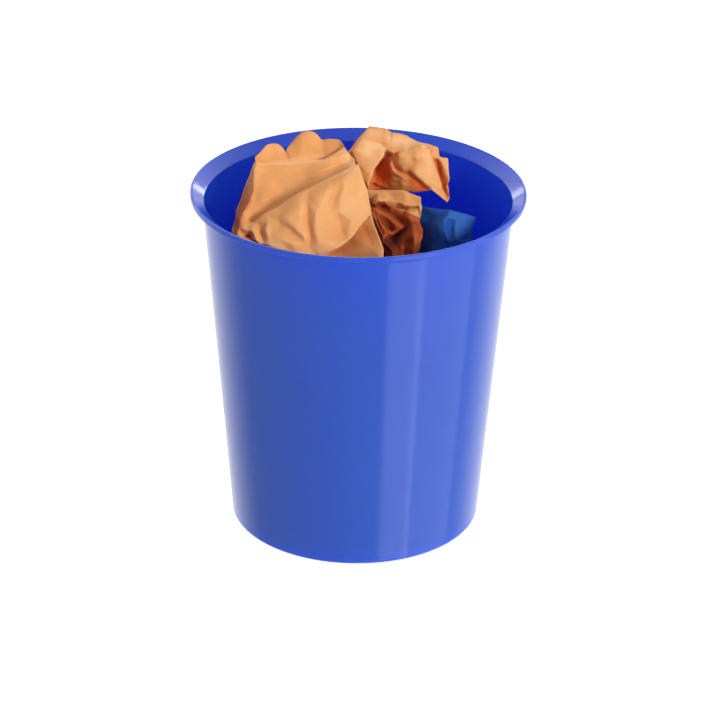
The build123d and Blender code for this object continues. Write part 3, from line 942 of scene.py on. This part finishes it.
brown_facets = [
    [(8, 22, 305, 0, 0.1), (23, 21, 306), (40, 12, 309, 0, -0.1), (48, 6, 308, 0, -0.2),
     (54, -2, 308, 0, -0.2), (54, -11, 306, 0, 0.1), (53, -13, 305, 0, 0.1), (51, -11, 295, 0, 0.05),
     (54, -14, 291, 0, -0.4), (56, -17, 288, 0, 0.1), (58, -23, 283), (57, -27, 279, 0, -0.2),
     (50, -37, 276, 0, 0.1), (49, -38, 272, 0, 0.4), (38, -28, 266), (29, -27, 264, 0, 0.6),
     (25, -26, 273, 0, 1), (20, -20, 277, 0, 0.4), (15, -8, 283, 0, -0.1), (10, 2, 290, 0, -0.3),
     (10, 7, 295, 0, -0.3), (9, 6, 300, 0, 0.6)],
    [(9, 4, 302, 0, 0.5), (12, -2, 303, 2.2, -0.4), (17, 0, 304, 3.8), (23, 1, 303, 3.2), (28, 5, 297, 3.2),
     (38, 1, 296, 1.9), (46, -9, 296, 2.4), (51, -12, 294)],
    [(34, 14, 307, 0.3, 0.15), (31, 7, 305, -2.2, 0.2), (25, 0, 304, 0.3, 0.05)],
    [(14, 18, 304, 0.3, 0.1), (13, 9, 304, -2.2, 0.6), (17, 0, 304, 3.8)],
    [(9, 17, 304, 0, 0.5), (10, 3, 303, 0, 0.8), (9, 4, 302, 0, 0.5)],
    [(20, 16, 305, 1.4, -0.15), (24, 10, 304, 1.6, -0.1)],
    [(42, 8, 308, 1.1, -0.1), (45, -7, 305, 0.5), (48, -8, 298, 0.3)],
    [(13, 4, 295, 4.1, -0.5), (16, -1, 294, 3.2, -0.1), (19, -7, 292, -4.3, 0.3), (26, -9, 283, -4.1, 0.5),
     (29, -8, 279, -3.5, 0.5)],
    [(16, -4, 304, 0.8), (17, -1, 303, 0, 0.3), (22, 4, 295, -3.8, 0.35), (30, 0, 291, -4.1, 0.3),
     (37, -6, 289, -3.5, 0.3), (45, -19, 291, -4.3, 0.5), (51, -17, 292, -1.4, 0.3)],
    [(16, 1, 295, 4.6, -0.3), (21, -1, 293, 4.1, -0.35), (28, -2, 288, 3.8, -0.3),
     (33, -5, 285, 4.1, -0.25), (34, -9, 279, 2.4)],
    [(15, -5, 293, -2.4, 0.2), (18, -13, 288, -4.1, 0.5), (22, -19, 282, -3.2, 0.4)],
    [(14, -1, 293, 1.6, -0.4), (16, -11, 290, 1.4, -0.2), (18, -15, 284, 0.7)],
    [(17, -8, 293, 1.1), (22, -12, 285, 2.2), (26, -14, 280, 3.2, -0.1), (31, -10, 277, 3.8),
     (36, -10, 280, 3.2), (40, -11, 283, 2.7)],
    [(26, -14, 280, 3.2, -0.1), (23, -22, 279, 0.5)],
    [(22, -23, 277, -4.1, 0.8), (28, -16, 276, -5.7, 0.9), (37, -13, 278, -5.9, 0.9),
     (41, -13, 282, -3.8, 0.7)],
    [(28, -28, 272, -4.3, 1), (33, -18, 271, -4.9, 0.9), (37, -13, 278, -5.9, 0.9)],
    [(41, -13, 282, -3.8, 0.7), (45, -22, 284, 3.8, -0.2), (51, -31, 285, 3.8, -0.25),
     (57, -26, 281, 0.8, -0.3)],
    [(45, -22, 284, 3.8, -0.2), (41, -19, 275, 3.2, -0.1), (39, -25, 270, 2.4)],
    [(46, -28, 276, -1.9, 0.4), (45, -31, 270, -1.6, 0.4)],
    [(48, -30, 284, 4.1, -0.25), (50, -35, 278, 2.7, -0.1), (47, -35, 275, 1.1)],
    [(33, 4, 295, 1.1, -0.55), (39, -3, 293, 2.7, -0.35), (45, -14, 295, 1.9, -0.4),
     (50, -15, 293, 0.8, -0.3)],
    [(48, -25, 290, 2.2, 0.2), (53, -25, 288, 1.6, 0.2)],
]
blue_facets = [
    [(54, 8, 297, 0, 0.4), (64, 3, 297, 0, 0.1), (75, -5, 298, 0, 0.1), (81, -8, 300, 0, -0.3),
     (91, -6, 294, 0, -0.35), (103, 1, 290, 0, -0.1), (101, -5, 285, 0, -0.05), (99, -12, 278),
     (97, -20, 275), (86, -28, 275, 0, 0.3), (73, -22, 268, 0, 0.3), (63, -14, 262, 0, 0.4),
     (55, 6, 253, 0, 0.6), (55, 7, 265, 0, 0.6), (53, 9, 281, 0, 0.6)],
    [(81, -8, 300, 0, -0.3), (78, -14, 295, 1.4, -0.25), (86, -12, 293, 2.6, -0.3),
     (85, -21, 287, 2.9, -0.3), (85, -27, 282, 2.6, -0.1), (88, -28, 278, 1.9)],
    [(78, -14, 295, 1.4, -0.25), (72, -8, 293, -1.4, 0.2), (61, 3, 287, -1.2, 0.3)],
    [(80, -9, 299, -0.4, 0.2), (77, -13, 295, 0.5, 0.2)],
    [(64, 2, 293, 0.7, -0.1), (71, -4, 295, 0.7, -0.05)],
    [(84, -15, 291, -0.7, 0.3), (84, -21, 287, -0.7, 0.3), (84, -27, 282, -0.5, 0.3)],
    [(81, -16, 291, -1.4, 0.3), (81, -24, 285, -2.2, 0.35), (81, -28, 277, -1.2, 0.4)],
    [(73, -16, 289, 1.7), (71, -16, 283, 2.6, -0.1), (75, -22, 278, 1.7)],
    [(61, 2, 284, -0.7, 0.5), (63, -5, 277, -1, 0.5), (66, -15, 269, -0.5, 0.4)],
    [(92, -10, 290, 1, -0.25), (93, -20, 282, 2.4, -0.1), (95, -20, 278, -1.7, 0.5), (97, -15, 278, 0.2)],
]

large = crumple_sheet(
    "large_kraft_crumple", "large_kraft_sheet", [large_rows], front=(1, 2), sharp=(1, 2, 5, 6, 9, 10),
    seed=11, slopes=(0.05, 0.12, 0.16), net=large_facets, material=kraft, calm=6,
    lines=(
        ((-101, -70, 302), (-92, -78, 302), 8.4, -1.6),
        ((-29, 12, 337), (-8, 20, 342), 6.0, 2.1),
        ((-16, -23, 340), (-1, -6, 340), 3.6, 1.6),
        ((-26, 8, 335), (-3, 12, 341), 8.4, -1.3),
        ((-85, 0, 331), (-67, -20, 313), 21.6, 1.4),
        ((-53, 8, 334), (-41, -6, 322), 19.2, -1.3),
        ((-95, -18, 325), (-102, -50, 309), 7.2, 2.9),
        ((-91, 4, 335), (-95, -14, 324), 9.6, 1.9),
        ((-50, 46, 350), (-53, 26, 333), 16.8, 1.4),
        ((-35, 44, 347), (-30, 28, 334), 14.4, -1.4),
        ((-76, 34, 344), (-78, 22, 332), 14.4, -1.3),
    ),
)
rear = crumple_sheet(
    "rear_kraft_crumple", "rear_kraft_sheet", [rear_rows, rear_foot_rows], front=(1, 7),
    sharp=(1, 2, 3, 4, 5), seed=21, slopes=(0.05, 0.10, 0.16), net=rear_facets, material=rear_kraft,
    crisp=True, lines=[((41, 64, 341), (58, 56, 337), 4.8, -0.8)],
)
brown = crumple_sheet(
    "small_brown_crumple", "small_brown_sheet", [brown_rows], front=(1, 2), sharp=(1, 2, 3, 4, 5, 6),
    seed=31, slopes=(0.06, 0.14, 0.24), net=brown_facets, material=brown_paper,
    lines=[((16, 23, 305), (18, 2, 302), 9.6, 0.9)],
)
blue = crumple_sheet(
    "blue_crumple", "blue_sheet", [blue_rows], front=(1, 2), sharp=(), seed=41,
    slopes=(0.05, 0.10, 0.12), net=blue_facets, material=blue_paper,
    lines=[((89, 5, 293), (91, -19, 285), 9.6, 0.5)],
)

sheets = [large, rear, brown, blue]
key_light("paper_key", (0.7, -0.8, 0.52), 2.35, 10, sheets)
key_light("blue_fill", (-0.3, -0.8, 0.6), 0.4, 60, [blue], (0.35, 0.6, 1.0))
key_light("paper_fill", (-0.7, -0.5, 0.8), 0.35, 90, [large, rear, brown], (1.0, 0.4, 0.25))

bpy.context.scene.view_settings.view_transform = "Standard"
